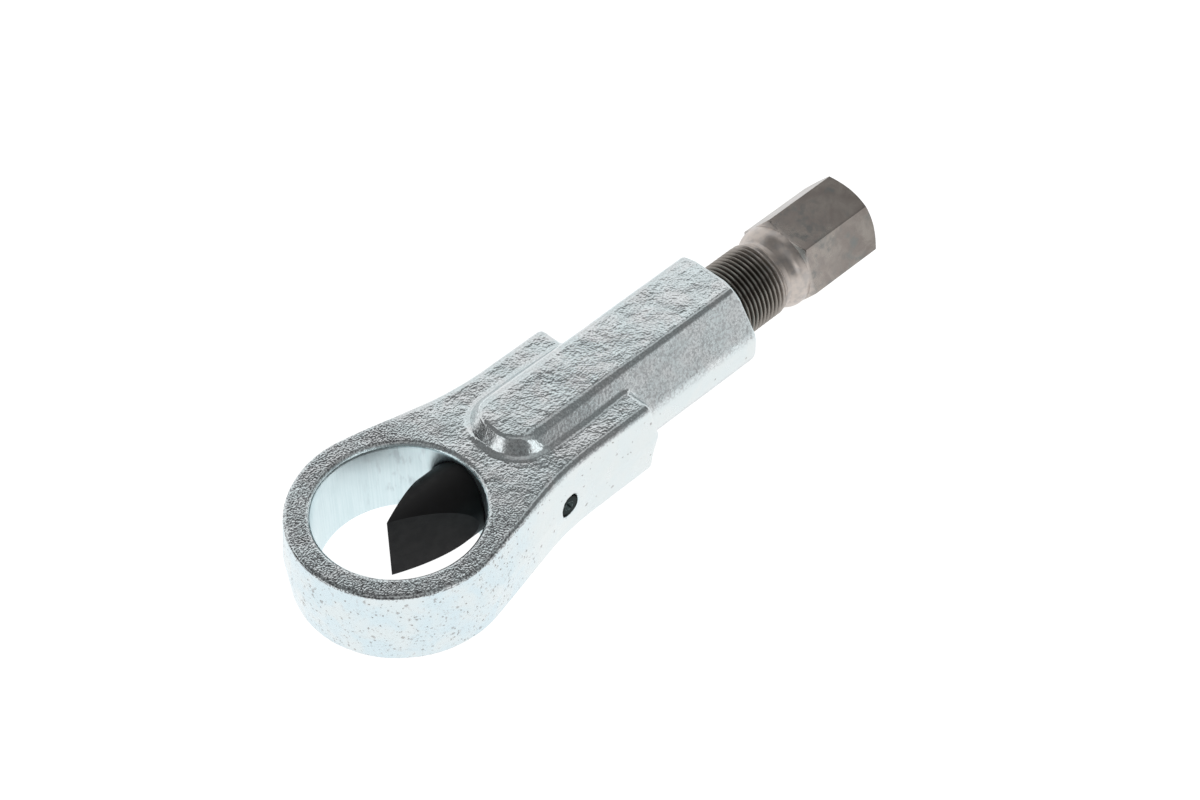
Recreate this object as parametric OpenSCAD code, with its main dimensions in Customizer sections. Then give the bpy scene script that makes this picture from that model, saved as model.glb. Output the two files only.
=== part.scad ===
// Nut splitter: a forged ring body whose spindle drives a chisel into a seized nut.
// The ring's centre is the origin, +X runs along the barrel to the spindle's head,
// and +Z is the ring's own axis. Pieces stand as in the photo, with the chisel part way in.

/* [Ring] */
// Diameter of the hole that takes the nut
ring_bore_d = 44; // [40:0.5:46]
// Outer diameter of the ring at its flat faces
ring_d = 57.5; // [56:0.5:62]
// Thickness of the forging over the ring and the cheeks
ring_t = 24; // [22.5:0.5:27]
// Edge break around the nut hole
ring_lip = 0.5; // [0.3:0.1:1.5]

/* [Forging] */
// Draft of the forged walls, from the faces out to the parting line
draft_angle = 5; // [2:0.5:7]
// Edge break between the forged walls and the flat faces
forge_edge = 1.2; // [0.4:0.1:1.6]

/* [Cheeks] */
// Width over the cheeks at their flat faces
cheek_w = 41.2; // [38.5:0.2:44]
// Distance from the ring's centre to the cheeks' rear ends, at their flat faces
cheek_end = 69.4; // [62:0.2:72]
// Draft of the cheeks' rear ends, from the faces out to the parting line
end_draft_angle = 12; // [5:0.5:14]
// Angle at which each side runs in from the ring to its cheek
flare_angle = 12.5; // [11:0.5:15]

/* [Barrel] */
// Height over the barrel's two broad flats
barrel_h = 33; // [31:0.5:36]
// Width of each broad flat
barrel_flat_w = 18.8; // [17:0.2:20]
// Width over the barrel's side bands
barrel_w = 34.8; // [33:0.2:36]
// Height of each side band
barrel_band_h = 7.2; // [5:0.2:9]
// Distance from the ring's centre to the barrel's rear face
barrel_end = 112.5; // [108:0.5:118]
// Diameter at which the turned bevel of the rear face begins
rear_face_d = 34; // [31:0.5:36]
// Angle of the turned bevel, from the rear face
rear_bevel_angle = 30; // [15:1:40]

/* [Nose of the barrel] */
// Distance from the ring's centre to the foot of the nose, on the ring's face
nose_foot = 30.3; // [29:0.1:33]
// Lean of the nose, from upright
nose_lean = 35; // [25:1:38]
// Corner radius of the nose at its foot
nose_corner_r = 10; // [9:0.5:11]
// Width of the nose between the centres of its corners
nose_straight = 5.8; // [5:0.2:8]

/* [Chisel] */
// Diameter of the chisel
chisel_d = 20; // [18:0.2:20.6]
// Length of the chisel
chisel_len = 78; // [76.5:0.5:82]
// How far the cutting edge stands past the ring's centre at rest
edge_past_centre = 4; // [2:0.5:4]
// Angle between the two wedge faces
wedge_angle = 50; // [46:1:60]
// Edge break at the chisel's rear end
chisel_edge = 1; // [0.4:0.1:1.5]

/* [Travel] */
// Travel of the chisel towards the far side of the ring
travel_in = 17; // [10:0.5:17]
// Travel of the chisel back into the barrel
travel_out = 16; // [10:0.5:17]

/* [Guide screw] */
// Distance from the ring's centre to the guide screw
guide_x = 37.7; // [36.5:0.1:40]
// Nominal diameter of the guide screw
guide_d = 6; // [5:0.5:7]
// Diameter of the screw's dog point
dog_d = 4; // [3:0.1:4.6]
// How far the dog point reaches into the chisel
dog_reach = 2.8; // [1.5:0.1:3.5]
// Room between the dog point and the floor of its slot
dog_tip_gap = 0.2; // [0.1:0.05:0.5]
// Depth of the screw's outer end below the cheek's wall
guide_recess = 0.2; // [0.1:0.1:2]
// Width across flats of the screw's socket
guide_socket_af = 2.5; // [2:0.5:3.5]
// Depth of the screw's socket
guide_socket_depth = 3; // [2:0.5:4]

/* [Spindle] */
// Nominal diameter of the thread
thread_d = 22; // [21.5:0.1:23]
// Where the thread starts inside the barrel
thread_start = 56; // [52:0.5:57]
// Length of the lead-in bevel at the thread's mouth
thread_mouth = 0.8; // [0.3:0.1:1.5]
// Distance from one ridge of the thread to the next, which is the travel in one turn
thread_pitch = 1.5; // [1:0.25:2.5]
// Depth of the thread
thread_depth = 0.9; // [0.5:0.1:1.5]
// Distance from the ring's centre to the thread's end
thread_end = 133.5; // [128:0.5:133.5]
// Diameter of the relief between the thread and the neck
relief_d = 20.5; // [19.5:0.1:21]
// Distance from the ring's centre to the front of the neck
neck_front = 134.8; // [134.8:0.2:135.4]
// Length of the neck's rounded shoulder
neck_round = 3.6; // [2:0.2:4]
// Diameter of the neck
neck_d = 24; // [23.5:0.1:25]
// Distance from the ring's centre to the hexagon's front end
head_front = 139.5; // [138.5:0.5:142]
// Distance from the ring's centre to the hexagon's rear end
head_end = 166; // [158:0.5:172]
// Width across flats of the hexagon
head_af = 24; // [22:0.5:27]
// Angle of the bevels at the hexagon's ends
head_bevel_angle = 30; // [15:1:40]
// Turn of the hexagon's corners at rest
head_turn = 10.5; // [0:0.5:60]

/* [Spindle to chisel joint] */
// Diameter of the spindle's pilot in the chisel
pilot_d = 10; // [9.5:0.1:11]
// Diameter of the thrust ball
ball_d = 8; // [7:0.5:8.5]
// Distance from the chisel's rear end to the floor of the ball's pocket
ball_floor = 14; // [12:0.5:15.5]
// Gap between the chisel's rear end and the spindle's shoulder
shoulder_gap = 0.4; // [0.2:0.1:1]
// Gap between the pilot's end and the step of its bore
pilot_gap = 1.5; // [0.8:0.1:2]
// Diameter of the retaining ring's wire
wire_d = 1.6; // [1:0.1:1.8]
// Distance from the chisel's rear end to the retaining ring
wire_back = 4; // [2.5:0.5:5]
// Opening of the retaining ring
wire_opening = 30; // [15:1:60]
// Depth of the retaining ring's groove in the pilot, beyond the wire
wire_spring_room = 0.6; // [0.3:0.1:0.9]

/* [Fits] */
// Radial clearance of turning and sliding fits
running_fit = 0.05; // [0.02:0.01:0.1]
// Room between the dog point and the slot's ends at full travel
stop_room = 0.3; // [0.1:0.1:0.5]

/* [Hidden] */
$fn = 96;
// Overlap that keeps joined or cut shapes from sharing a face
over = 1;

ring_r = ring_d / 2;
half_t = ring_t / 2;
cheek_half_w = cheek_w / 2;
// How far the forged walls and the cheeks' rear ends stand out at the parting line
bulge = half_t * tan(draft_angle);
end_bulge = half_t * tan(end_draft_angle);
barrel_half_h = barrel_h / 2;
barrel_corner_r = norm([barrel_w, barrel_h]) / 2;
// Length of each flare, to where its line meets the cheek's, run on into the cheek
flare_len = (ring_r * cos(flare_angle) - cheek_half_w) / sin(flare_angle) + over;

chisel_r = chisel_d / 2;
chisel_front = -edge_past_centre;
chisel_back = chisel_front + chisel_len;
slot_front = guide_x - travel_out - stop_room;
slot_back = guide_x + travel_in + stop_room;
slot_depth = dog_reach + dog_tip_gap;

// The wall at the guide screw is the cheek's or the flare's, whichever stands further out
flare_half_w = (ring_r - guide_x * sin(flare_angle)) / cos(flare_angle);
guide_wall = max(cheek_half_w, flare_half_w) + bulge;
guide_outer = guide_wall - guide_recess;
guide_step = chisel_r + running_fit + over;

pilot_r = pilot_d / 2;
ball_r = ball_d / 2;
ball_x = chisel_back - ball_floor + ball_r;
pilot_front = ball_x + pilot_gap;
shoulder_x = chisel_back + shoulder_gap;
wire_x = chisel_back - wire_back;
wire_ring_r = pilot_r + running_fit;
wire_groove_r = wire_ring_r - wire_d / 2 - wire_spring_room;
head_corner_r = head_af / 2 / cos(30);
thread_r = thread_d / 2;
relief_r = relief_d / 2;
neck_r = neck_d / 2;
// Whole ridges between the bevelled start of the thread and its end
thread_turns = ceil((thread_end - shoulder_x - thread_mouth) / thread_pitch) - 1;

// Section of a forged wall: flat faces, broken edges and draft out to the parting line
function wall(reach) = [
    [0, -half_t], [reach - forge_edge, -half_t], [reach, forge_edge - half_t],
    [reach + bulge, 0],
    [reach, half_t - forge_edge], [reach - forge_edge, half_t], [0, half_t]];

// Turns a shape made about Z so that it lies along the tool's axis, starting at x
module along_axis(x) {
    translate([x, 0, 0]) rotate([0, 90, 0]) children();
}

// A plain round hole or bar along the tool's axis
module round_bar(from, to, d) {
    along_axis(from) cylinder(d = d, h = to - from);
}

// The room that the cheeks' drafted rear ends leave, seen from the side
module cheek_space() {
    top = half_t + over;
    end_top = cheek_end - over * tan(end_draft_angle);
    rotate([90, 0, 0]) linear_extrude(height = 2 * ring_r, center = true) polygon([
        [-over, -top], [end_top, -top], [cheek_end + end_bulge, 0], [end_top, top], [-over, top]]);
}

// The forging's plan: the ring, its two flares and the parallel cheeks
module ring_and_cheeks() {
    rotate_extrude() polygon(wall(ring_r));
    for (side = [0, 1]) mirror([0, side, 0]) {
        intersection() {
            rotate([90, 0, 90]) linear_extrude(height = cheek_end + end_bulge + over)
                polygon(wall(cheek_half_w));
            cheek_space();
        }
        rotate([0, 0, -flare_angle]) rotate([90, 0, 90])
            linear_extrude(height = flare_len) polygon(wall(ring_r));
    }
}

// Half of the space that the barrel's leaning nose leaves, above the parting line
module nose_space() {
    rise = barrel_half_h + over;
    foot_r = nose_corner_r + half_t * tan(nose_lean);
    hull() {
        for (side = [-1, 1])
            translate([nose_foot + nose_corner_r, side * nose_straight / 2, 0])
                cylinder(r1 = foot_r, r2 = foot_r - rise * tan(nose_lean), h = rise);
        translate([cheek_end, -barrel_corner_r, 0])
            cube([barrel_end + over - cheek_end, 2 * barrel_corner_r, rise]);
    }
}

// The six-sided barrel, with its nose at the ring and the turned bevel at the rear
module barrel() {
    flat = barrel_flat_w / 2;
    band = [barrel_w / 2, barrel_band_h / 2];
    corners = [[flat, barrel_half_h], band, [band.x, -band.y], [flat, -barrel_half_h]];
    bevel_rise = barrel_corner_r + over - rear_face_d / 2;
    bevel_len = bevel_rise * tan(rear_bevel_angle);
    intersection() {
        rotate([90, 0, 90]) linear_extrude(height = barrel_end)
            polygon(concat(corners, [for (i = [3:-1:0]) [-corners[i].x, corners[i].y]]));
        along_axis(0) rotate_extrude() polygon([
            [0, 0], [barrel_corner_r + over, 0], [barrel_corner_r + over, barrel_end - bevel_len],
            [rear_face_d / 2, barrel_end], [0, barrel_end]]);
        for (side = [0, 1]) mirror([0, 0, side]) nose_space();
    }
}

// The nut hole with its broken lips
module nut_hole() {
    r = ring_bore_d / 2;
    top = half_t + over;
    lip = r + ring_lip + over;
    rotate_extrude() polygon([
        [0, -top], [lip, -top], [r, ring_lip - half_t], [r, half_t - ring_lip], [lip, top], [0, top]]);
}

module body() {
    mouth_r = thread_r + running_fit;
    color([0.68, 0.70, 0.72]) difference() {
        union() {
            ring_and_cheeks();
            barrel();
        }
        nut_hole();
        round_bar(0, thread_start + over, chisel_d + 2 * running_fit);
        round_bar(thread_start, barrel_end + over, thread_d + 2 * running_fit);
        along_axis(barrel_end - thread_mouth)
            cylinder(r1 = mouth_r, r2 = mouth_r + thread_mouth + over, h = thread_mouth + over);
        translate([guide_x, 0, 0]) rotate([90, 0, 0])
            cylinder(d = guide_d + 2 * running_fit, h = guide_wall + over);
    }
}

// The slot that keeps the chisel from turning and ends its travel
module guide_slot() {
    w = dog_d + 2 * running_fit;
    translate([0, slot_depth - chisel_r, 0]) rotate([90, 0, 0]) {
        for (x = [slot_front, slot_back]) translate([x, 0, 0]) cylinder(d = w, h = slot_depth + over);
        translate([slot_front, -w / 2, 0]) cube([slot_back - slot_front, w, slot_depth + over]);
    }
}

module chisel() {
    side = chisel_r + over;
    wedge_back = chisel_front + side / tan(wedge_angle / 2);
    pocket_d = ball_d + 2 * running_fit;
    color([0.10, 0.10, 0.11]) difference() {
        intersection() {
            along_axis(chisel_front) rotate_extrude() polygon([
                [0, 0], [chisel_r, 0], [chisel_r, chisel_len - chisel_edge],
                [chisel_r - chisel_edge, chisel_len], [0, chisel_len]]);
            translate([0, 0, -side]) linear_extrude(height = 2 * side) polygon([
                [chisel_front, 0], [wedge_back, -side], [chisel_back + over, -side],
                [chisel_back + over, side], [wedge_back, side]]);
        }
        guide_slot();
        round_bar(ball_x - ball_r, chisel_back, pocket_d);
        round_bar(ball_x, chisel_back + over, pilot_d + 2 * running_fit);
        along_axis(wire_x) rotate_extrude() translate([wire_ring_r, 0])
            circle(d = wire_d + 2 * running_fit, $fn = 32);
    }
}

// The hexagon with both ends bevelled on a lathe
module hex_head() {
    len = head_end - head_front;
    flat_r = head_af / 2;
    rise = head_corner_r - flat_r;
    bevel = rise * tan(head_bevel_angle);
    intersection() {
        along_axis(head_front) rotate([0, 0, 90 + head_turn]) cylinder(r = head_corner_r, h = len, $fn = 6);
        along_axis(head_front) rotate_extrude() polygon([
            [0, 0], [flat_r, 0], [head_corner_r, bevel], [head_corner_r, len - bevel], [flat_r, len], [0, len]]);
    }
}

// Outline of the pilot, with the groove for the retaining ring
function pilot_outline(groove) = [
    [0, pilot_front], [pilot_r, pilot_front],
    [pilot_r, wire_x - groove], [wire_groove_r, wire_x - groove],
    [wire_groove_r, wire_x + groove], [pilot_r, wire_x + groove], [pilot_r, shoulder_x]];

// Outline of the thread, with its ridges drawn as rings at the thread's pitch
function thread_outline() = concat(
    [[thread_r - thread_mouth, shoulder_x], [thread_r, shoulder_x + thread_mouth]],
    [for (turn = [thread_turns:-1:1]) each [
        [thread_r, thread_end - turn * thread_pitch],
        [thread_r - thread_depth, thread_end - (turn - 0.5) * thread_pitch]]],
    [[thread_r, thread_end], [relief_r, thread_end + thread_r - relief_r]]);

// Outline of the neck, with a shoulder that rounds up out of the relief
function neck_outline() = concat(
    [for (a = [0:15:90]) [
        relief_r + (neck_r - relief_r) * sin(a), neck_front + neck_round * (1 - cos(a))]],
    [[neck_r, head_front + over], [0, head_front + over]]);

module spindle() {
    groove = wire_d / 2 + running_fit;
    color([0.45, 0.42, 0.40]) {
        difference() {
            along_axis(0) rotate_extrude()
                polygon(concat(pilot_outline(groove), thread_outline(), neck_outline()));
            translate([ball_x, 0, 0]) sphere(d = ball_d);
        }
        hex_head();
    }
}

module guide_screw() {
    color([0.14, 0.15, 0.14]) translate([guide_x, 0, 0]) rotate([90, 0, 0]) difference() {
        union() {
            translate([0, 0, guide_step]) cylinder(d = guide_d, h = guide_outer - guide_step);
            translate([0, 0, chisel_r - dog_reach]) cylinder(d = dog_d, h = guide_step + over - chisel_r + dog_reach);
        }
        translate([0, 0, guide_outer - guide_socket_depth])
            cylinder(d = guide_socket_af / cos(30), h = guide_socket_depth + over, $fn = 6);
    }
}

module thrust_ball() {
    color([0.80, 0.81, 0.82]) translate([ball_x, 0, 0]) sphere(d = ball_d);
}

module retaining_ring() {
    color([0.55, 0.55, 0.57]) along_axis(wire_x) rotate([0, 0, wire_opening / 2])
        rotate_extrude(angle = 360 - wire_opening) translate([wire_ring_r, 0]) circle(d = wire_d, $fn = 32);
}

body();
chisel();
spindle();
guide_screw();
thrust_ball();
retaining_ring();
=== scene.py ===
"""Nut splitter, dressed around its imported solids.

Lengths are millimetres in the frame of the part: the ring's centre is the origin, +X runs to the
spindle's head and +Z is the ring's axis. Meshes are scaled to metres when they are made.
"""
import math

import bpy
import numpy as np
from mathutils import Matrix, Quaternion, Vector, noise


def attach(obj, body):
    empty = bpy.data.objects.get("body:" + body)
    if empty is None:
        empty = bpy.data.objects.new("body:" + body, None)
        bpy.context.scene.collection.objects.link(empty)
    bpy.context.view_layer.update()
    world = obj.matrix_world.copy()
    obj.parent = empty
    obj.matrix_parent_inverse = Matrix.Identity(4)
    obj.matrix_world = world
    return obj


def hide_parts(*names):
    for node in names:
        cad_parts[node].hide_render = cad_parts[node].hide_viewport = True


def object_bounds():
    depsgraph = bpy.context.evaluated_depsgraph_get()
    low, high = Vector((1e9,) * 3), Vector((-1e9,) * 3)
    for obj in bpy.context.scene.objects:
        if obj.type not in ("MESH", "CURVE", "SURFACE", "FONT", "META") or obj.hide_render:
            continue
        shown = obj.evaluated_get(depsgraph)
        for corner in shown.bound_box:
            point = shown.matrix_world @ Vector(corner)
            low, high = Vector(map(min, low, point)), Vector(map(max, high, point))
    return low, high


MM = 0.001

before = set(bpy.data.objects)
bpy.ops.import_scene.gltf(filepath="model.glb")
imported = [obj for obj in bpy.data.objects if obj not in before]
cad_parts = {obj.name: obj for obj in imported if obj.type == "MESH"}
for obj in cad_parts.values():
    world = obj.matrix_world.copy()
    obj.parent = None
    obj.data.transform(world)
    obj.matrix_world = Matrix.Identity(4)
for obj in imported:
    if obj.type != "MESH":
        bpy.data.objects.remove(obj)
cad_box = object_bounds()

# Sizes of the forging
RING_R = 28.75
RING_BORE_R = 22.0
HALF_T = 12.0
DRAFT = math.radians(5)
FLARE = math.radians(12.5)
CHEEK_HALF_W = 20.75
CHEEK_END = 69.4
END_DRAFT = math.radians(12)
BARREL_HALF_H = 16.5
BARREL_FLAT = (8.8, 9.15)
BARREL_FLAT_GROWS = (50.0, 100.0)
BARREL_SIDE = 17.4
BARREL_SPREAD = 2.6
BARREL_NARROWS = (50.0, 75.0)
BARREL_BAND = 3.6
BARREL_END = 112.5
REAR_FACE_R = 17.0
REAR_BEVEL = math.radians(30)
NOSE_FOOT = 29.3
NOSE_LEAN = math.radians(35)
NOSE_CORNER_R = 11.0
NOSE_STRAIGHT = 3.0
NOSE_SPREAD = math.radians(20.3)
CHISEL_BORE_R = 10.05
THREAD_BORE_R = 11.05
THREAD_BORE_START = 56.0
THREAD_MOUTH = 0.8
GUIDE_X = 37.7
GUIDE_R = 3.05

# Rounding of the forging's edges and corners
RING_EDGE_R = 1.1
CHEEK_EDGE_R = 2.2
EDGE_GROWS = (5.0, 35.0)
SHOULDER_TOP_R = 1.7
SHOULDER_SIDE_R = 2.5
SHOULDER_DEPTH = 6.0
BARREL_EDGE_R = (1.4, 1.1)
BARREL_EDGE_SHRINKS = (45.0, 105.0)
BAND_EDGE_R = 1.2
NOSE_EDGE_R = 0.6
FOOT_FILLET_R = 0.8
CHEEK_BLEND = 2.0
LIP_W = 0.9
LIP_EDGE_R = 0.25
BORE_EDGE_R = 0.2
TURNED_EDGE_R = 0.6

# The body's mesh: its cells, how it is drawn onto the shape, and the height and length of its waves
BODY_CELL = 0.4
PROJECT_STEPS = 6
PROBE = 0.02
LEAST_STEEPNESS = 0.25
MACHINED_BLEND = 0.6
WAVES = ((0.10, 7.0), (0.05, 2.6), (0.03, 1.3))

# Sizes of the spindle
PILOT_R = 5.0
PILOT_FRONT = 65.5
THREAD_FRONT = 74.4
THREAD_END = 133.5
THREAD_R = 10.97
THREAD_PITCH = 1.5
THREAD_DEPTH = 0.92
THREAD_FADE = 3.0
CREST_SHARE = 0.14
FLANK_SHARE = 0.72
FLANK_ROUNDING = 0.35
RELIEF_R = 10.25
NECK_FRONT = 134.2
NECK_FULL = 138.2
NECK_R = 12.0
NECK_CURVE = 2.4
HEAD_FRONT = 139.5
HEAD_END = 166.0
HEAD_SIDES = 6
HEAD_FLAT_R = 12.0
HEAD_CORNER_POWER = 160
HEAD_BEVEL = math.radians(30)
HEAD_TURN = math.radians(10.5)

# The spindle's mesh: its rows, its sharp edges, and where its finishes change
SPINDLE_SIDES = 192
TIP_R = 0.01
ROWS_PER_PITCH = 14
NECK_ROWS = 30
COLLAR_W = 0.3
COLLAR_ROWS = 3
BEVEL_ROWS = 14
BEVEL_OVERRUN = 1.1
SHARP_ANGLE = math.radians(28)
THREAD_BRIGHTENS = (124.0, 133.5)
NECK_FINISH_ENDS = (139.0, 141.5)
# Gain of the painted shade in the thread's grooves
GROOVE_GAIN = 1.4

# Camera: its place, the point it looks at, its roll, its lens and how near it sees
CAMERA_PLACE = (-299.7, -381.3, 559.2)
CAMERA_AIM = (69.3, -1.35, 0.0)
CAMERA_ROLL = math.radians(-1.118)
CAMERA_LENS = 88.06
SENSOR_W = 36.0
CLIP_START = 10.0

# Range that holds most values of a noise
NOISE_SPAN = (0.3, 0.7)

# Forged zinc: colours
ZINC_WALL_RING = (0.655, 0.765, 0.81)
ZINC_WALL_REAR = (0.72, 0.78, 0.79)
ZINC_WALL_WARM = (0.755, 0.79, 0.785)
ZINC_TOP_COOL = (0.68, 0.755, 0.77)
ZINC_TOP_WARM = (0.725, 0.755, 0.765)
# Painted shade for the sloped faces
SLANT_PAINTED_SHADE = (0.49, 0.515, 0.525)
ZINC_HOLLOW = (0.21, 0.215, 0.225)
ZINC_BLOTCH = (0.42, 0.37, 0.35)
ZINC_PIT = (0.28, 0.23, 0.21)
BORE_DARK = (0.655, 0.785, 0.815)
BORE_BRIGHT = (0.72, 0.84, 0.87)
# Painted dark reflection of the chisel on the cut faces
BORE_PAINTED_REFLECTION = (0.40, 0.46, 0.49)
GUIDE_SHADE = (0.012, 0.016, 0.016)

# Forged zinc: lengths of the patterns, and the stretch of those along the ring's axis
COARSE_GRAIN = 0.8
FINE_GRAIN = 0.48
PIT_PATCH = 5.0
SMALL_PIT_CELL = 0.95
LARGE_PIT_CELL = 1.6
PIT_SWAY_CELL = 0.5
PIT_SWAY = 0.9
BLOTCH_CELL = 0.9
TINT_PATCH = 7.0
CLOUD_CELL = 0.8
STREAK_W = 0.5
STREAK_STRETCH = (1, 1, 0.04)
REFLECTION_W = 1.7
REFLECTION_STRETCH = (1, 1, 0.3)
GLOSS_PATCH = 5.0

# Forged zinc: values on the ring and behind it
RING_TO_REAR = (10.0, 30.0)
COARSE_RELIEF = (0.013, 0.037)
FINE_RELIEF = (0.062, 0.0195)
PIT_RARITY = (0.02, 0.80)
BLOTCH_SHARE = (0.42, 0.07)
HOLLOW_SHARE = (0.95, 0.22)

# Forged zinc: ranges of the surface's level, which is 0 on an upright wall and 1 on a flat top
WALL_LEVEL = (0.75, 0.3)
GRAIN_LEVEL = (0.1, 0.6)
HOLLOW_LEVEL = (0.15, 0.5)
TOP_LEVEL = (0.2, 0.7)
SLANT_FROM = (0.3, 0.5)
SLANT_TO = (0.8, 0.6)
GLOSS_LEVEL = (0.45, 0.85)

# Forged zinc: ranges of the patterns, and how much each one shows
GRAIN_ON_WALL = 0.08
GRAIN_EASES = (60.0, 110.0)
GRAIN_AT_END = 0.75
PIT_PATCH_SPAN = (0.60, 0.42)
PIT_GAPS = 0.75
PIT_RAREST = 0.96
PIT_REACH = 0.30
PIT_EDGE = (0.08, -0.06)
PIT_SHARE = 0.56
LARGE_PIT_RARER = 0.12
LARGE_PIT_SHARE = 0.8
BLOTCH_SPAN = (0.54, 0.74)
HOLLOW_SPAN = (0.62, 0.30)
TINT_SPAN = (0.35, 0.65)
WALL_TINT = 0.6
CLOUD_SPAN = (0.45, 0.62)
CLOUD_SHARE = 0.85
STREAK_SPAN = (0.3, 0.75)
REFLECTION_SPAN = (0.52, 0.70)
REFLECTION_GROWS = (2.0, 14.0)
REFLECTION_SHARE = 0.45
GUIDE_SHADE_R = (GUIDE_R + 0.22, GUIDE_R + 0.1)
GUIDE_SIDE = (0.0, -5.0)

# Forged zinc: roughness and relief
UNEVEN_ROUGH = 0.05
SLANT_ROUGH = (0.21, 0.27)
SLANT_ROUGH_CHANGES = (42.0, 48.0)
TOP_ROUGH = 0.11
PIT_ROUGH = 0.3
CUT_ROUGH = 0.08
PIT_DEPTH = 0.04
STREAK_DEPTH = 0.006

# Turned steel: colours, lengths of the patterns, their ranges, roughness and relief
STEEL_BROWN = (0.19, 0.168, 0.155)
STEEL_PALE = (0.275, 0.252, 0.229)
STEEL_BLUED = (0.15, 0.165, 0.162)
STEEL_SCORCH = (0.13, 0.14, 0.138)
NECK_WORN = (0.56, 0.505, 0.465)
NECK_DULL = (0.45, 0.42, 0.40)
CREST_TINT = (0.29, 0.266, 0.24)
# Painted shade for the thread's grooves
GROOVE_PAINTED_SHADE = (0.115, 0.105, 0.094)
STAIN_PATCH = 6.0
BLUED_PATCH = 5.0
SCORCH_PATCH = 3.2
WORN_PATCH = 2.4
LATHE_W = 0.35
LATHE_STRETCH = (1, 0.03, 0.03)
STAIN_SPAN = (0.35, 0.7)
STAIN_ROUGH_SPAN = (0.3, 0.75)
BLUED_SPAN = (0.55, 0.78)
SCORCH_SPAN = (0.50, 0.66)
SCORCH_FADES = (158.0, 144.0)
WORN_SPAN = (0.42, 0.66)
STEEL_ROUGH = (0.18, 0.27)
NECK_ROUGH = 0.12
THREAD_ROUGH = 0.08
LATHE_DEPTH = 0.002

# Black steel of the chisel
BLACK_DEEP = (0.0035, 0.0035, 0.0038)
BLACK_BLOOM = (0.0065, 0.0065, 0.0075)
BLACK_SPECK = (0.02, 0.02, 0.022)
BLACK_PATCH = 2.5
BLACK_SPAN = (0.35, 0.75)
SPECK_CELL = 0.5
SPECK_SPAN = (0.66, 0.78)
SPECK_SHARE = 0.35
BLACK_GRAIN = 0.3
BLACK_DEPTH = 0.01
BLACK_ROUGH = (0.42, 0.60)
BLACK_SPECULAR = 0.2

# Black oxide of the guide screw, with painted shade at its rim and painted light in its socket
OXIDE_DARK = (0.018, 0.027, 0.027)
OXIDE_LIGHT = (0.026, 0.037, 0.037)
# Painted shade at the screw's rim, where it meets its hole
SCREW_RIM_SHADE = (0.006, 0.008, 0.008)
# Painted light in the socket, against the shade inside it
SOCKET_PAINTED_LIGHT = (0.26, 0.33, 0.33)
OXIDE_PATCH = 1.5
SCREW_RIM_R = (2.3, 2.9)
SOCKET_R = (1.45, 1.25)
OXIDE_ROUGH = (0.45, 0.62)
OXIDE_SPECULAR = 0.06

# Bright steel of the ball and the snap ring
BRIGHT_DARK = (0.62, 0.63, 0.64)
BRIGHT_LIGHT = (0.74, 0.75, 0.76)
BRIGHT_PATCH = 2.0
BRIGHT_ROUGH = (0.12, 0.22)

# Floor: its width in metres, and its finish
FLOOR_SIZE = 8
FLOOR_TINT = (0.2, 0.2, 0.2, 1)
FLOOR_ROUGH = 0.9
FLOOR_GLOW = (1, 1, 1, 1)

# The studio is dark round one axis and bright away from it: cosine to that axis, light
DARK_AXIS = (-0.20, -0.45, 0.87)
STUDIO_RAMP = (
    (0.0, 0.93),
    (0.24, 1.05),
    (0.305, 1.05),
    (0.327, 0.14),
    (0.38, 0.14),
    (0.48, 0.22),
    (0.77, 0.22),
    (0.84, 0.40),
    (1.0, 0.48),
)
# Soft round panels over it: azimuth, elevation, radius where full, radius where gone (degrees), light
STUDIO_PANELS = (
    (19, 54, 7, 14, 0.64),
    (312, 8, 10, 30, 0.45),
    (316, 4, 14, 22, 0.82),
    (226, 46, 5, 9, 0.12),
    (136, 4, 18, 24, 0.08),
    (218, 20, 28, 36, 0.22),
    (168, 15, 13, 18, 1.3),
    (271, 19, 13, 17, 1.3),
)


# Distance functions: negative inside, positive outside
def round_both(a, b, r):
    """Inside both shapes, with the outer edge rounded to radius r."""
    corner = np.hypot(np.maximum(a + r, 0), np.maximum(b + r, 0))
    return np.minimum(np.maximum(a, b), -r) + corner


def round_either(a, b, r):
    """Inside either shape, with the inner corner filled to radius r."""
    corner = np.hypot(np.maximum(r - a, 0), np.maximum(r - b, 0))
    return np.maximum(np.minimum(a, b), r) - corner


def soft_either(a, b, reach):
    """Inside either of two shapes that meet at a flat angle, blended where they differ by under reach."""
    near = np.maximum(reach - np.abs(a - b), 0) / reach
    return np.minimum(a, b) - near * near * reach / 4


def bevelled_both(a, b, width, r):
    """Inside both shapes, with the outer edge cut across and its two corners rounded to radius r."""
    return round_both(np.maximum(a, b), (a + b + width) * math.sqrt(0.5), r)


def ease(value, low, high):
    """Smooth step from 0 at low to 1 at high."""
    share = np.clip((value - low) / (high - low), 0, 1)
    return share * share * (3 - 2 * share)


def forging_distance(x, y, z):
    """The ring and the cheeks, without their holes."""
    side, rise = np.abs(y), HALF_T - np.abs(z)
    flare = x * math.sin(FLARE) + side * math.cos(FLARE) - RING_R
    before_tangent = side * math.sin(FLARE) - x * math.cos(FLARE)
    arms = np.maximum(soft_either(flare, side - CHEEK_HALF_W, CHEEK_BLEND), before_tangent)
    plan = np.minimum(np.hypot(x, y) - RING_R, arms)
    wall = (plan - rise * math.tan(DRAFT)) * math.cos(DRAFT)
    edge_r = RING_EDGE_R + (CHEEK_EDGE_R - RING_EDGE_R) * ease(x, *EDGE_GROWS)
    blank = round_both(wall, -rise, edge_r)
    end_r = SHOULDER_TOP_R + (SHOULDER_SIDE_R - SHOULDER_TOP_R) * ease(rise, 0, SHOULDER_DEPTH)
    end = (x - CHEEK_END - rise * math.tan(END_DRAFT)) * math.cos(END_DRAFT)
    return round_both(blank, end, end_r)


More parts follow.
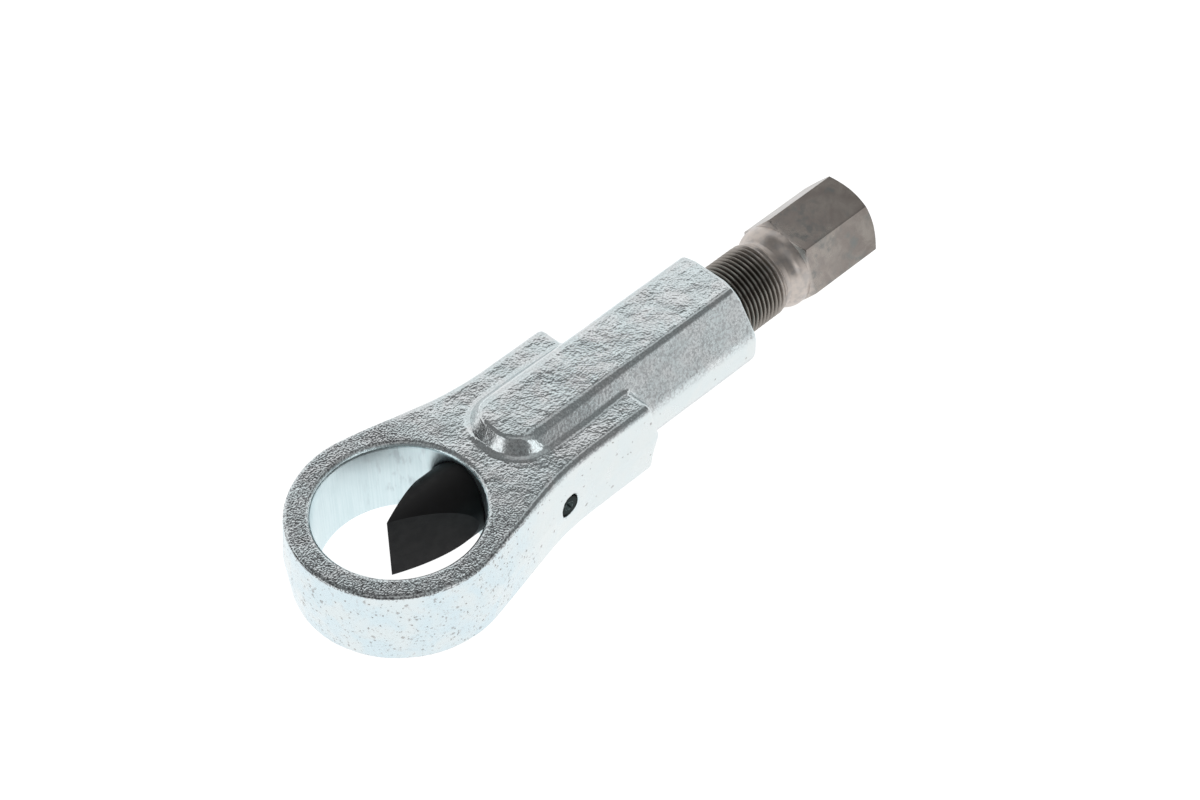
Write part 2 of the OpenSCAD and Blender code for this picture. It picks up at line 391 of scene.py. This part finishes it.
def barrel_distance(x, y, z):
    """The six-sided barrel with its leaning nose, open at the rear."""
    side, height = np.abs(y), np.abs(z)
    reach = BARREL_SIDE + BARREL_SPREAD * (1 - ease(x, *BARREL_NARROWS))
    front_flat, rear_flat = BARREL_FLAT
    flat = front_flat + (rear_flat - front_flat) * ease(x, *BARREL_FLAT_GROWS)
    run, fall = reach - flat, BARREL_HALF_H - BARREL_BAND
    length = np.hypot(run, fall)
    slant = ((side - flat) * fall + (height - BARREL_HALF_H) * run) / length
    front_r, rear_r = BARREL_EDGE_R
    edge_r = front_r + (rear_r - front_r) * ease(x, *BARREL_EDGE_SHRINKS)
    section = round_both(height - BARREL_HALF_H, slant, edge_r)
    section = round_both(section, side - reach, BAND_EDGE_R)
    over = np.maximum(side - NOSE_STRAIGHT / 2, 0)
    ahead = NOSE_FOOT + NOSE_CORNER_R - x
    past_corner = over * math.sin(NOSE_SPREAD) > ahead * math.cos(NOSE_SPREAD)
    flank = over * math.cos(NOSE_SPREAD) + ahead * math.sin(NOSE_SPREAD)
    plan = np.where(past_corner, flank, np.hypot(over, ahead)) - NOSE_CORNER_R
    nose = (plan - (HALF_T - height) * math.tan(NOSE_LEAN)) * math.cos(NOSE_LEAN)
    return round_both(section, nose, NOSE_EDGE_R)


def turned_end_distance(x, y, z):
    """All that lies before the barrel's rear face and inside its turned bevel."""
    radius = np.hypot(y, z)
    bevel = (x - BARREL_END) * math.cos(REAR_BEVEL) + (radius - REAR_FACE_R) * math.sin(REAR_BEVEL)
    return np.maximum(x - BARREL_END, bevel)


def bores_distance(x, y, z):
    """The space of the chisel's bore, the thread and the guide screw."""
    radius = np.hypot(y, z)
    chisel = np.maximum(radius - CHISEL_BORE_R, -x)
    thread = np.maximum(radius - THREAD_BORE_R, THREAD_BORE_START - x)
    mouth = (radius - THREAD_BORE_R - THREAD_MOUTH + BARREL_END - x) * math.sqrt(0.5)
    guide = np.maximum(np.hypot(x - GUIDE_X, z) - GUIDE_R, y)
    return np.minimum(np.minimum(chisel, guide), np.minimum(thread, mouth))


def body_parts(x, y, z):
    forged = round_either(forging_distance(x, y, z), barrel_distance(x, y, z), FOOT_FILLET_R)
    end = turned_end_distance(x, y, z)
    hole = RING_BORE_R - np.hypot(x, y)
    bores = -bores_distance(x, y, z)
    return forged, end, hole, bores


def body_distance(points, waves):
    forged, end, hole, bores = body_parts(*points.T)
    solid = round_both(forged - waves, end, TURNED_EDGE_R)
    solid = bevelled_both(solid, hole, LIP_W, LIP_EDGE_R)
    return round_both(solid, bores, BORE_EDGE_R)


def gradient(points, waves):
    slopes = [
        body_distance(points + PROBE * axis, waves) - body_distance(points - PROBE * axis, waves)
        for axis in np.eye(3)
    ]
    return np.stack(slopes, axis=1) / (2 * PROBE)


def forged_waves(points):
    """Shallow hollows and humps that a drop forging keeps, never proud of the nominal surface."""
    total = np.zeros(len(points))
    for height, length in WAVES:
        total += [height * (noise.noise(Vector(p) / length) - 1) / 2 for p in points]
    return total


# Meshes
def add_piece(name, mesh):
    piece = bpy.data.objects.new(name, mesh)
    bpy.context.scene.collection.objects.link(piece)
    return piece


def add_attribute(piece, name, values):
    layer = piece.data.attributes.new(name, "FLOAT", "POINT")
    layer.data.foreach_set("value", np.asarray(values, np.float32))


def make_body():
    """The forging, with the CAD body's mesh cut to even cells and drawn onto the rounded shape."""
    draft = add_piece("draft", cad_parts["body"].data.copy())
    remesh = draft.modifiers.new("cells", "REMESH")
    remesh.mode = "VOXEL"
    remesh.voxel_size = BODY_CELL * MM
    view = bpy.context.evaluated_depsgraph_get()
    mesh = bpy.data.meshes.new_from_object(draft.evaluated_get(view))
    bpy.data.objects.remove(draft)
    points = np.empty(len(mesh.vertices) * 3)
    mesh.vertices.foreach_get("co", points)
    points = points.reshape(-1, 3) / MM
    waves = forged_waves(points)
    for _ in range(PROJECT_STEPS):
        slope = gradient(points, waves)
        steepness = np.maximum((slope ** 2).sum(axis=1), LEAST_STEEPNESS)
        step = body_distance(points, waves) / steepness
        points -= slope * np.clip(step, -BODY_CELL, BODY_CELL)[:, None]
    mesh.vertices.foreach_set("co", (points * MM).ravel())
    mesh.shade_smooth()
    piece = add_piece("forged_body", mesh)
    forged, end, hole, bores = body_parts(*points.T)
    cut = np.maximum(np.maximum(end, bores), hole) - forged
    add_attribute(piece, "machined", np.clip(cut / MACHINED_BLEND + 0.5, 0, 1))
    add_attribute(piece, "level", np.abs(gradient(points, waves)[:, 2]))
    return piece


def thread_radius(x, angle):
    """Radius of the helical thread: flat crests, sloped flanks and rounded roots."""
    turn = (x / THREAD_PITCH + angle / (2 * math.pi)) % 1.0
    across = np.abs(turn - 0.5) * 2
    straight = np.clip((across - CREST_SHARE) / FLANK_SHARE, 0, 1)
    depth = straight + (ease(straight, 0, 1) - straight) * FLANK_ROUNDING
    return THREAD_R - THREAD_DEPTH * depth


def head_radius(angle):
    """Radius of the hexagon, with barely rounded corners."""
    turn = 2 * math.pi / HEAD_SIDES
    faces = HEAD_TURN + turn / 2 + np.arange(HEAD_SIDES) * turn
    reach = np.cos(angle[:, None] - faces[None, :]).clip(0)
    return HEAD_FLAT_R / (reach ** HEAD_CORNER_POWER).sum(axis=1) ** (1 / HEAD_CORNER_POWER)


def spindle_rows(angles):
    """Rings of the spindle from its pilot to its head: place along the axis, radius at each angle."""
    ones = np.ones(len(angles))
    rows = [(PILOT_FRONT, TIP_R * ones), (PILOT_FRONT, PILOT_R * ones), (THREAD_FRONT, PILOT_R * ones)]
    for x in np.arange(THREAD_FRONT, THREAD_END, THREAD_PITCH / ROWS_PER_PITCH):
        lead_in = THREAD_R - THREAD_DEPTH + (x - THREAD_FRONT)
        fade = ease(x, THREAD_END - THREAD_FADE, THREAD_END)
        cut = thread_radius(x, angles) * (1 - fade) + RELIEF_R * fade
        rows.append((x, np.minimum(cut, lead_in)))
    for x in np.linspace(THREAD_END, NECK_FULL, NECK_ROWS):
        short = np.clip((NECK_FULL - x) / (NECK_FULL - NECK_FRONT), 0, 1)
        rows.append((x, (NECK_R - (NECK_R - RELIEF_R) * short ** NECK_CURVE) * ones))
    for x in np.linspace(HEAD_FRONT - COLLAR_W, HEAD_FRONT, COLLAR_ROWS):
        rows.append((x, NECK_R * ones))
    six = head_radius(angles)
    bevel_slope = 1 / math.tan(HEAD_BEVEL)
    bevel_len = BEVEL_OVERRUN * (six.max() - HEAD_FLAT_R) / bevel_slope
    depths = np.linspace(0, bevel_len, BEVEL_ROWS)
    bevel = [np.minimum(six, HEAD_FLAT_R + depth * bevel_slope) for depth in depths]
    rows += [(HEAD_FRONT + depth, radius) for depth, radius in zip(depths[1:], bevel[1:])]
    rows += [(HEAD_END - depth, radius) for depth, radius in zip(depths[::-1], bevel[::-1])]
    rows.append((HEAD_END, TIP_R * ones))
    return rows


def make_spindle():
    """The spindle with a real helix, as a grid of rows and sides."""
    angles = HEAD_TURN + np.arange(SPINDLE_SIDES) * 2 * math.pi / SPINDLE_SIDES
    rows = spindle_rows(angles)
    points = np.concatenate([
        np.stack([np.full(SPINDLE_SIDES, x), r * np.cos(angles), r * np.sin(angles)], axis=1)
        for x, r in rows
    ])
    faces = []
    for i in range(len(rows) - 1):
        a, b = i * SPINDLE_SIDES, (i + 1) * SPINDLE_SIDES
        for j in range(SPINDLE_SIDES):
            k = (j + 1) % SPINDLE_SIDES
            faces.append((a + j, a + k, b + k, b + j))
    mesh = bpy.data.meshes.new("turned_spindle")
    mesh.from_pydata((points * MM).tolist(), [], faces)
    mesh.validate()
    mesh.shade_smooth()
    piece = add_piece("turned_spindle", mesh)
    depth = (THREAD_R - np.concatenate([r for _, r in rows])) / THREAD_DEPTH
    place = points[:, 0]
    thread = 1 - ease(place, *THREAD_BRIGHTENS)
    add_attribute(piece, "thread", thread)
    # Painted shade in the thread's grooves, darker the deeper they are
    add_attribute(piece, "groove", np.clip(depth * GROOVE_GAIN, 0, 1) * thread * (place > THREAD_FRONT))
    add_attribute(piece, "neck", (1 - thread) * (1 - ease(place, *NECK_FINISH_ENDS)))
    mesh.set_sharp_from_angle(angle=SHARP_ANGLE)
    return piece


# Materials and light
class Graph:
    """A node tree, with short calls for the nodes that the finishes and the light use."""

    def __init__(self, owner, shader, space):
        owner.use_nodes = True
        self.owner = owner
        self.tree = owner.node_tree
        self.shader = self.tree.nodes[shader]
        self.place = self.add("ShaderNodeTexCoord").outputs[space]

    def add(self, kind, **settings):
        made = self.tree.nodes.new(kind)
        for key, value in settings.items():
            setattr(made, key, value)
        return made

    def feed(self, socket, value):
        if isinstance(value, bpy.types.NodeSocket):
            self.tree.links.new(value, socket)
        else:
            socket.default_value = value

    def set(self, **values):
        for key, value in values.items():
            self.feed(self.shader.inputs[key.replace("_", " ")], value)

    def attribute(self, name):
        return self.add("ShaderNodeAttribute", attribute_name=name).outputs["Fac"]

    def vector(self, operation, a, b):
        node = self.add("ShaderNodeVectorMath", operation=operation)
        self.feed(node.inputs[0], a)
        self.feed(node.inputs["Scale" if operation == "SCALE" else 1], b)
        return node.outputs["Value" if operation == "DOT_PRODUCT" else "Vector"]

    def math(self, operation, a, b=0.0):
        node = self.add("ShaderNodeMath", operation=operation)
        self.feed(node.inputs[0], a)
        self.feed(node.inputs[1], b)
        return node.outputs[0]

    def times(self, a, b):
        return self.math("MULTIPLY", a, b)

    def plus(self, a, b):
        return self.math("ADD", a, b)

    def span(self, value, low, high, to_low=0.0, to_high=1.0):
        """Smooth step from to_low, where the value is low, to to_high, where it is high."""
        node = self.add("ShaderNodeMapRange", interpolation_type="SMOOTHSTEP")
        sockets = ("Value", "From Min", "From Max", "To Min", "To Max")
        for key, item in zip(sockets, (value, low, high, to_low, to_high)):
            self.feed(node.inputs[key], item)
        return node.outputs[0]

    def mix(self, share, a, b):
        node = self.add("ShaderNodeMix", data_type="RGBA")
        self.feed(node.inputs[0], share)
        for socket, value in ((node.inputs[6], a), (node.inputs[7], b)):
            self.feed(socket, (*value, 1) if isinstance(value, tuple) else value)
        return node.outputs[2]

    def axis(self, letter):
        node = self.add("ShaderNodeSeparateXYZ")
        self.feed(node.inputs[0], self.place)
        return node.outputs[letter]

    def along(self, letter, low, high, to_low=0.0, to_high=1.0):
        """Smooth step along an axis of the frame."""
        return self.span(self.axis(letter), low * MM, high * MM, to_low, to_high)

    def from_guide(self, low, high):
        """Smooth step over the distance from the guide screw's axis."""
        x = self.math("SUBTRACT", self.axis("X"), GUIDE_X * MM)
        squares = self.plus(self.math("POWER", x, 2), self.math("POWER", self.axis("Z"), 2))
        return self.span(self.math("SQRT", squares), low * MM, high * MM)

    def noise(self, length, detail=2, roughness=0.5, distortion=0, stretch=None, output="Fac"):
        place = self.vector("MULTIPLY", self.place, stretch) if stretch else self.place
        node = self.add("ShaderNodeTexNoise")
        self.feed(node.inputs["Vector"], place)
        node.inputs["Scale"].default_value = 1 / (length * MM)
        node.inputs["Detail"].default_value = detail
        node.inputs["Roughness"].default_value = roughness
        node.inputs["Distortion"].default_value = distortion
        return node.outputs[output]

    def pits(self, cell, rarity):
        """Ragged spots, one in some of the cells; the higher the rarity, the fewer cells have one."""
        sway = self.vector("SCALE", self.noise(PIT_SWAY_CELL, output="Color"), PIT_SWAY * MM)
        node = self.add("ShaderNodeTexVoronoi")
        self.feed(node.inputs["Vector"], self.vector("ADD", self.place, sway))
        node.inputs["Scale"].default_value = 1 / (cell * MM)
        chance = self.add("ShaderNodeSeparateColor")
        self.feed(chance.inputs[0], node.outputs["Color"])
        reach = self.times(self.span(chance.outputs[0], rarity, 1.0), PIT_REACH)
        return self.span(self.math("SUBTRACT", node.outputs["Distance"], reach), *PIT_EDGE)

    def bump(self, height, depth, after=None):
        node = self.add("ShaderNodeBump")
        self.feed(node.inputs["Height"], height)
        node.inputs["Distance"].default_value = depth * MM
        if after is not None:
            self.feed(node.inputs["Normal"], after)
        return node.outputs[0]


def material_graph(name):
    return Graph(bpy.data.materials.new(name), "Principled BSDF", "Object")


def forged_zinc():
    g = material_graph("forged zinc")
    machined, level = g.attribute("machined"), g.attribute("level")
    wall = g.times(g.span(level, *WALL_LEVEL), g.math("SUBTRACT", 1.0, machined))
    rear = g.along("X", *RING_TO_REAR)

    def by_place(on_ring, behind):
        return g.span(rear, 0, 1, on_ring, behind)

    # Scale left by forging: fine on the ring, broader wavelets behind it, faint on the walls
    coarse = g.noise(COARSE_GRAIN, detail=0, distortion=0.5)
    fine = g.noise(FINE_GRAIN, detail=0, distortion=0.3)
    grain = g.plus(g.times(coarse, by_place(*COARSE_RELIEF)), g.times(fine, by_place(*FINE_RELIEF)))
    grain = g.times(grain, g.span(level, *GRAIN_LEVEL, GRAIN_ON_WALL, 1))
    grain = g.times(grain, g.along("X", *GRAIN_EASES, 1, GRAIN_AT_END))
    # Scattered pits, thick on the ring's wall and few elsewhere
    gaps = g.span(g.noise(PIT_PATCH, detail=1), *PIT_PATCH_SPAN, 0, PIT_GAPS)
    rarity = g.plus(by_place(*PIT_RARITY), gaps)
    small = g.pits(SMALL_PIT_CELL, g.math("MINIMUM", rarity, PIT_RAREST))
    large = g.pits(LARGE_PIT_CELL, g.math("MINIMUM", g.plus(rarity, LARGE_PIT_RARER), PIT_RAREST))
    pit = g.times(g.math("MAXIMUM", small, g.times(large, LARGE_PIT_SHARE)), wall)
    # Fainter blotches between the pits
    blotch = g.span(g.noise(BLOTCH_CELL, detail=3, roughness=0.65), *BLOTCH_SPAN)
    blotch = g.times(blotch, g.times(wall, by_place(*BLOTCH_SHARE)))
    # Dirt and shade in the hollows of the grain, on the tops and over their edges
    hollow = g.times(g.span(fine, *HOLLOW_SPAN), g.span(level, *HOLLOW_LEVEL))
    hollow = g.times(hollow, by_place(*HOLLOW_SHARE))
    # Painted shade in darker clouds on the sloped faces: the barrel's slants, the nose and the edges'
    # roundings
    slants = g.times(g.span(level, *SLANT_FROM), g.span(level, *SLANT_TO))
    slant_shade = g.times(g.span(g.noise(CLOUD_CELL, roughness=0.6), *CLOUD_SPAN), slants)
    # Tints of the zinc's passivation, with all of this over them
    tint = g.noise(TINT_PATCH, distortion=0.4)
    cool = g.mix(rear, ZINC_WALL_RING, ZINC_WALL_REAR)
    walls = g.mix(g.span(tint, *TINT_SPAN, 0, WALL_TINT), cool, ZINC_WALL_WARM)
    tops = g.mix(g.span(tint, *TINT_SPAN), ZINC_TOP_COOL, ZINC_TOP_WARM)
    skin = g.mix(g.span(level, *TOP_LEVEL), walls, tops)
    skin = g.mix(g.times(slant_shade, CLOUD_SHARE), skin, SLANT_PAINTED_SHADE)
    skin = g.mix(hollow, skin, ZINC_HOLLOW)
    skin = g.mix(blotch, skin, ZINC_BLOTCH)
    # Machined faces: streaks along the nut hole, and darker smears growing towards the chisel, painted as
    # the chisel's dark reflection
    streak = g.noise(STREAK_W, detail=3, stretch=STREAK_STRETCH)
    bore = g.mix(g.span(streak, *STREAK_SPAN), BORE_DARK, BORE_BRIGHT)
    chisel_reflection = g.span(g.noise(REFLECTION_W, detail=3, stretch=REFLECTION_STRETCH), *REFLECTION_SPAN)
    bore = g.mix(g.times(chisel_reflection, g.along("X", *REFLECTION_GROWS, 0, REFLECTION_SHARE)), bore, BORE_PAINTED_REFLECTION)
    # Shade in the guide screw's hole
    shade = g.times(g.from_guide(*GUIDE_SHADE_R), g.along("Y", *GUIDE_SIDE))
    colour = g.mix(shade, g.mix(machined, skin, bore), GUIDE_SHADE)
    g.set(Base_Color=g.mix(g.times(pit, PIT_SHARE), colour, ZINC_PIT), Metallic=1.0)
    # Gloss: the tops are smoother than the walls, the pits and the cut faces
    uneven = g.span(g.noise(GLOSS_PATCH, detail=3), *NOISE_SPAN, 0, UNEVEN_ROUGH)
    slant_rough = g.along("X", *SLANT_ROUGH_CHANGES, *SLANT_ROUGH)
    satin = g.span(level, *GLOSS_LEVEL, slant_rough, TOP_ROUGH)
    dull = g.plus(g.times(pit, PIT_ROUGH), g.times(machined, CUT_ROUGH))
    g.set(Roughness=g.plus(g.plus(uneven, satin), dull))
    raised = g.bump(grain, depth=1.0)
    pitted = g.bump(g.math("SUBTRACT", 1.0, pit), PIT_DEPTH, raised)
    g.set(Normal=g.bump(g.times(streak, machined), STREAK_DEPTH, pitted))
    return g.owner


def turned_steel():
    g = material_graph("turned steel")
    thread, groove, neck = g.attribute("thread"), g.attribute("groove"), g.attribute("neck")
    stain = g.noise(STAIN_PATCH, detail=4, roughness=0.6, distortion=0.6)
    colour = g.mix(g.span(stain, *STAIN_SPAN), STEEL_BROWN, STEEL_PALE)
    colour = g.mix(g.span(g.noise(BLUED_PATCH), *BLUED_SPAN), colour, STEEL_BLUED)
    scorch = g.span(g.noise(SCORCH_PATCH, detail=3), *SCORCH_SPAN)
    colour = g.mix(g.times(scorch, g.along("X", *SCORCH_FADES)), colour, STEEL_SCORCH)
    worn = g.mix(g.span(g.noise(WORN_PATCH, detail=3), *WORN_SPAN), NECK_WORN, NECK_DULL)
    colour = g.mix(neck, colour, worn)
    colour = g.mix(thread, colour, CREST_TINT)
    # The thread's grooves get painted shade
    g.set(Base_Color=g.mix(groove, colour, GROOVE_PAINTED_SHADE), Metallic=1.0)
    dull = g.plus(g.times(neck, NECK_ROUGH), g.times(thread, THREAD_ROUGH))
    g.set(Roughness=g.plus(g.span(stain, *STAIN_ROUGH_SPAN, *STEEL_ROUGH), dull))
    g.set(Normal=g.bump(g.noise(LATHE_W, stretch=LATHE_STRETCH), LATHE_DEPTH))
    return g.owner


def black_steel():
    g = material_graph("black steel")
    bloom = g.noise(BLACK_PATCH, detail=5, roughness=0.65)
    colour = g.mix(g.span(bloom, *BLACK_SPAN), BLACK_DEEP, BLACK_BLOOM)
    specks = g.times(g.span(g.noise(SPECK_CELL), *SPECK_SPAN), SPECK_SHARE)
    g.set(Base_Color=g.mix(specks, colour, BLACK_SPECK), Metallic=0.0, Specular_IOR_Level=BLACK_SPECULAR)
    g.set(Roughness=g.span(bloom, *NOISE_SPAN, *BLACK_ROUGH))
    g.set(Normal=g.bump(g.noise(BLACK_GRAIN, detail=3), BLACK_DEPTH))
    return g.owner


def screw_steel():
    g = material_graph("screw steel")
    bloom = g.noise(OXIDE_PATCH, detail=4)
    face = g.mix(bloom, OXIDE_DARK, OXIDE_LIGHT)
    # Painted shade round the rim, where the screw meets its hole
    face = g.mix(g.from_guide(*SCREW_RIM_R), face, SCREW_RIM_SHADE)
    # Painted light fills the socket, lifting the shade inside it
    g.set(Base_Color=g.mix(g.from_guide(*SOCKET_R), face, SOCKET_PAINTED_LIGHT))
    g.set(Metallic=0.0, Specular_IOR_Level=OXIDE_SPECULAR)
    g.set(Roughness=g.span(bloom, *NOISE_SPAN, *OXIDE_ROUGH))
    return g.owner


def bright_steel():
    g = material_graph("bright steel")
    bloom = g.noise(BRIGHT_PATCH, detail=3)
    g.set(Base_Color=g.mix(bloom, BRIGHT_DARK, BRIGHT_LIGHT), Metallic=1.0)
    g.set(Roughness=g.span(bloom, *NOISE_SPAN, *BRIGHT_ROUGH))
    return g.owner


def dress(piece, material):
    piece.data.materials.clear()
    piece.data.materials.append(material)


def make_floor():
    bpy.ops.mesh.primitive_plane_add(size=FLOOR_SIZE, location=(0, 0, cad_box[0][2]))
    floor = bpy.context.object
    floor.name = "floor"
    g = material_graph("floor white")
    g.set(Base_Color=FLOOR_TINT, Roughness=FLOOR_ROUGH)
    g.set(Emission_Color=FLOOR_GLOW, Emission_Strength=1.0)
    dress(floor, g.owner)


def make_light():
    world = bpy.data.worlds.new("studio")
    bpy.context.scene.world = world
    g = Graph(world, "Background", "Generated")
    ramp = g.add("ShaderNodeValToRGB")
    g.feed(ramp.inputs[0], g.vector("DOT_PRODUCT", g.place, Vector(DARK_AXIS).normalized()))
    stops = ramp.color_ramp.elements
    while len(stops) < len(STUDIO_RAMP):
        stops.new(0.5)
    for stop, (cosine, bright) in zip(stops, STUDIO_RAMP):
        stop.position = cosine
        stop.color = (bright, bright, bright, 1)
    light = ramp.outputs[0]
    for *angles, bright in STUDIO_PANELS:
        azimuth, elevation, full, gone = (math.radians(angle) for angle in angles)
        flat = math.cos(elevation)
        aim = (flat * math.cos(azimuth), flat * math.sin(azimuth), math.sin(elevation))
        share = g.span(g.vector("DOT_PRODUCT", g.place, aim), math.cos(gone), math.cos(full))
        light = g.mix(share, light, (bright, bright, bright))
    g.set(Color=light, Strength=1.0)


def make_camera():
    lens = bpy.data.cameras.new("camera")
    lens.sensor_fit = "HORIZONTAL"
    lens.sensor_width = SENSOR_W
    lens.lens = CAMERA_LENS
    lens.clip_start = CLIP_START * MM
    camera = bpy.data.objects.new("camera", lens)
    camera.location = Vector(CAMERA_PLACE) * MM
    look = (Vector(CAMERA_AIM) - Vector(CAMERA_PLACE)).to_track_quat("-Z", "Y")
    camera.rotation_mode = "QUATERNION"
    camera.rotation_quaternion = look @ Quaternion((0, 0, 1), CAMERA_ROLL)
    bpy.context.scene.collection.objects.link(camera)
    bpy.context.scene.camera = camera


body = make_body()
dress(body, forged_zinc())
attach(body, "frame")
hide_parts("body")

spindle = make_spindle()
dress(spindle, turned_steel())
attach(spindle, "spindle")
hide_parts("spindle")

dress(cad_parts["chisel"], black_steel())
dress(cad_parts["guide_screw"], screw_steel())
dress(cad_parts["thrust_ball"], bright_steel())
dress(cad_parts["retaining_ring"], bright_steel())

make_floor()
make_light()
make_camera()
bpy.context.scene.view_settings.view_transform = "Standard"
